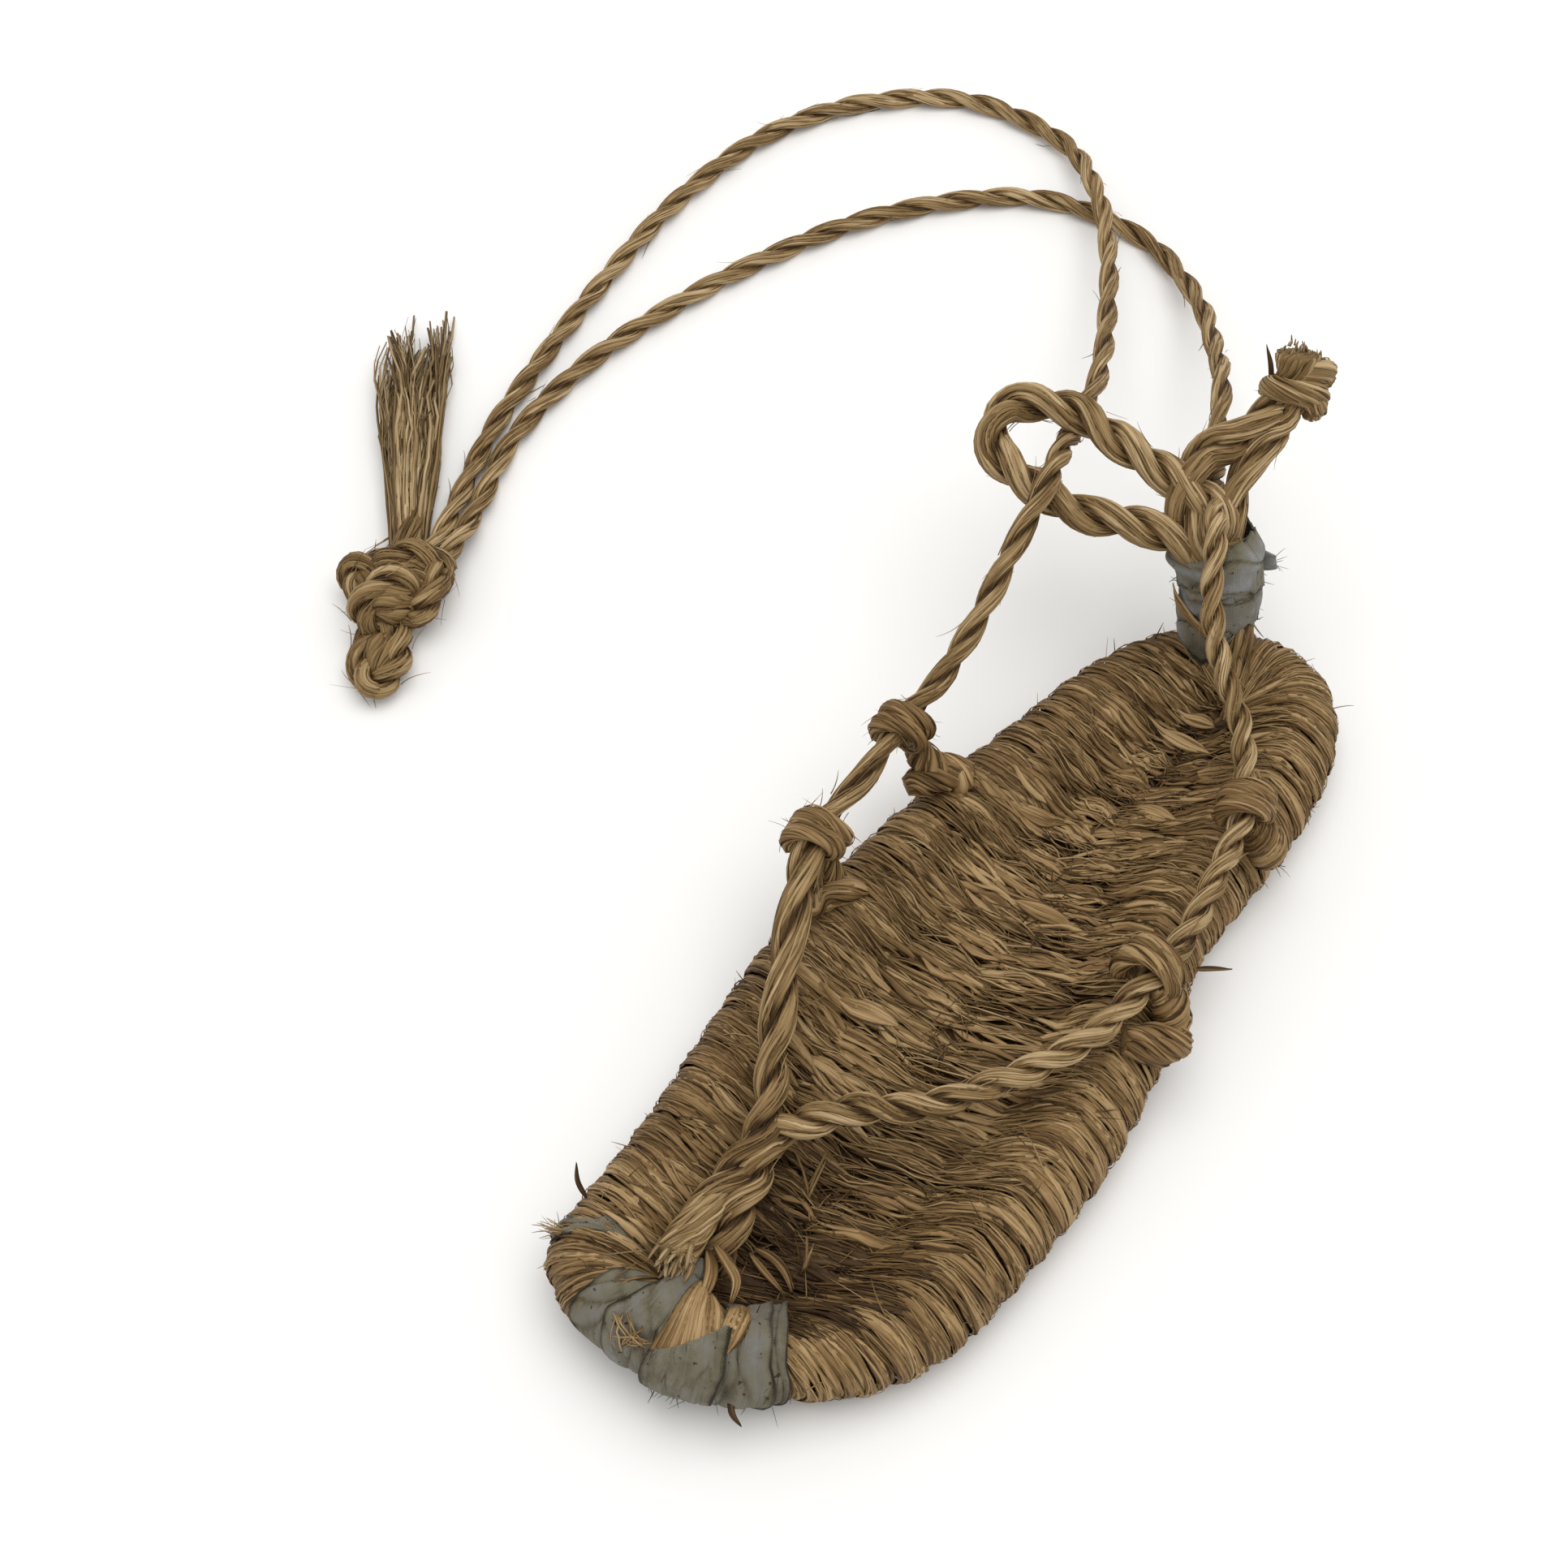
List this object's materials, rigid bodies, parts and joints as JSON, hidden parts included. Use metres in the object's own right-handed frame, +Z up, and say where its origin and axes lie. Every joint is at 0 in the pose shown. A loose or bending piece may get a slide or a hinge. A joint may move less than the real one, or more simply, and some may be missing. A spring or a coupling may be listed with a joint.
{
  "type": "straw sandal",
  "caption": "Woven straw sandal with a rolled rim, cord straps through side loops, heel rings, cloth-wrapped toe and heel, and long tie cords that end in a knot and tassel.",
  "frame": {"origin": "on the ground under the middle of the shoe's box, its free tie cords, knot and tassel left out", "axes": "+Y from toe to heel, +Z up, +X to the wearer's right seen from the heel"},
  "size_m": [0.3164, 0.3859, 0.0804],
  "materials": {
    "straw": "dry rice straw, matt with a faint sheen along the stalks",
    "cord": "two-ply twisted straw cord, matt",
    "cloth": "worn grey cotton strip, matt"
  },
  "bodies": {
    "root": {"sole": "straw", "upper_straps": "cord", "side_loop_front_left": "straw", "side_loop_rear_left": "straw", "side_loop_front_right": "straw", "side_loop_rear_right": "straw", "heel_rings": "cord", "heel_cloth": "cloth", "toe_cloth": "cloth", "toe_binding_left": "straw", "toe_binding_right": "straw", "tie_knot": "cord", "tie_cord_left": "cord", "tie_cord_right": "cord", "tassel": "cord"}
  },
  "joints": []
}
